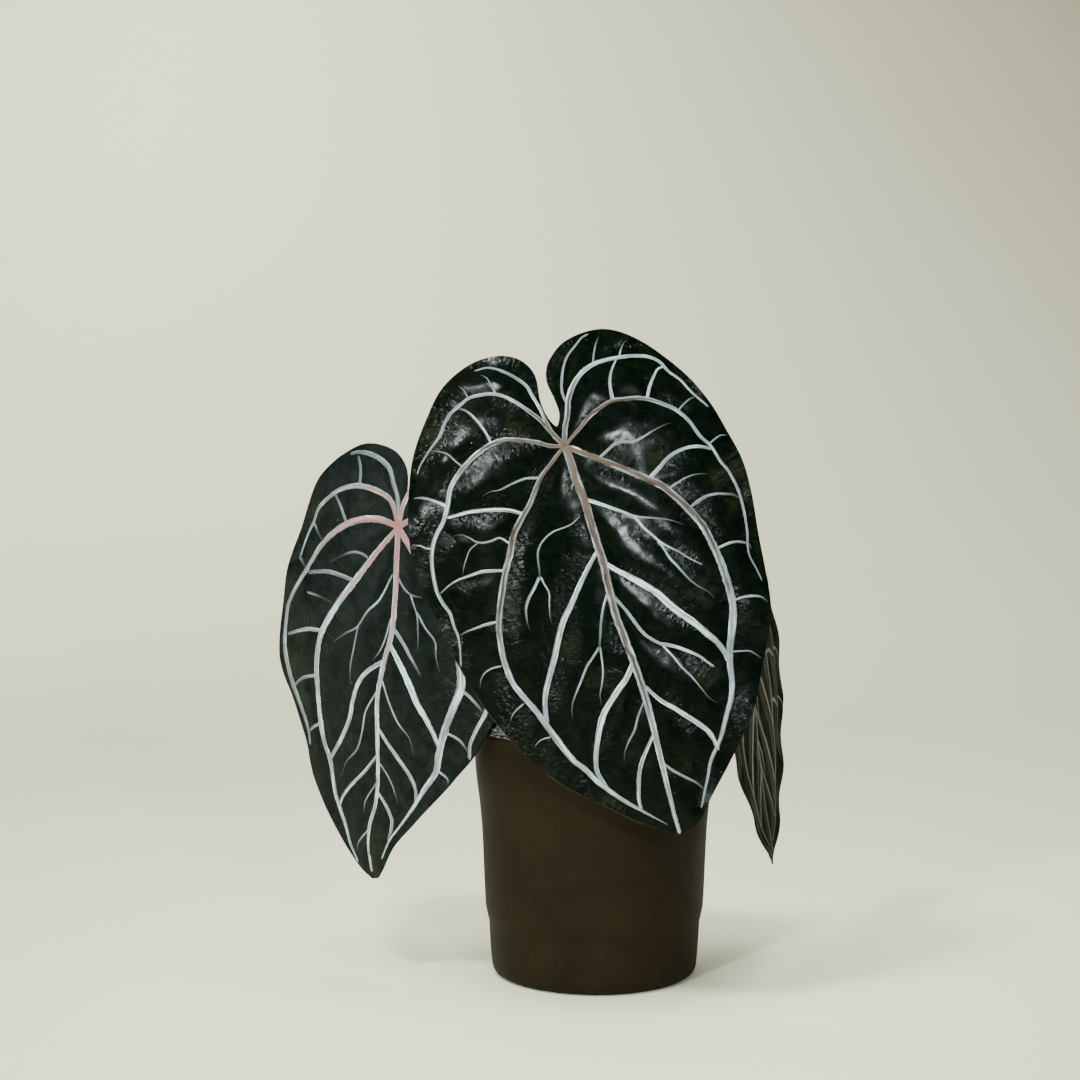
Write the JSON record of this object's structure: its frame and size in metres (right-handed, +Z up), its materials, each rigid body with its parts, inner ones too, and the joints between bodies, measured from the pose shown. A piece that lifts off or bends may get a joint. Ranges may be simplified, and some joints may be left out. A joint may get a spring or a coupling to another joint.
{
  "type": "potted anthurium",
  "caption": "Foliage plant with hanging heart-shaped leaves on slender stalks, rooted in chunky mix in a small tapered nursery pot.",
  "frame": {"origin": "centre of the pot's flat underside, on the pot's axis", "axes": "+Z up along the pot's axis; the largest leaf faces -Y; +X to the right as seen from the front"},
  "size_m": [0.2315, 0.1413, 0.2781],
  "materials": {
    "pot_plastic": "matte dark olive-brown moulded plastic",
    "potting_mix": "loose chunky bark, fibre and white grains",
    "crown_stem": "rough stem with dry sheaths",
    "leaf_stalk": "smooth waxy stalk, olive green with a reddish tint",
    "leaf_blade": "satin near-black green with silver-white veins, paler matt green below"
  },
  "bodies": {
    "root": {"nursery_pot": "pot_plastic", "potting_mix": "potting_mix", "crown": "crown_stem", "petiole_front": "leaf_stalk", "petiole_left": "leaf_stalk", "petiole_right": "leaf_stalk", "blade_front": "leaf_blade", "blade_left": "leaf_blade", "blade_right": "leaf_blade"}
  },
  "joints": []
}
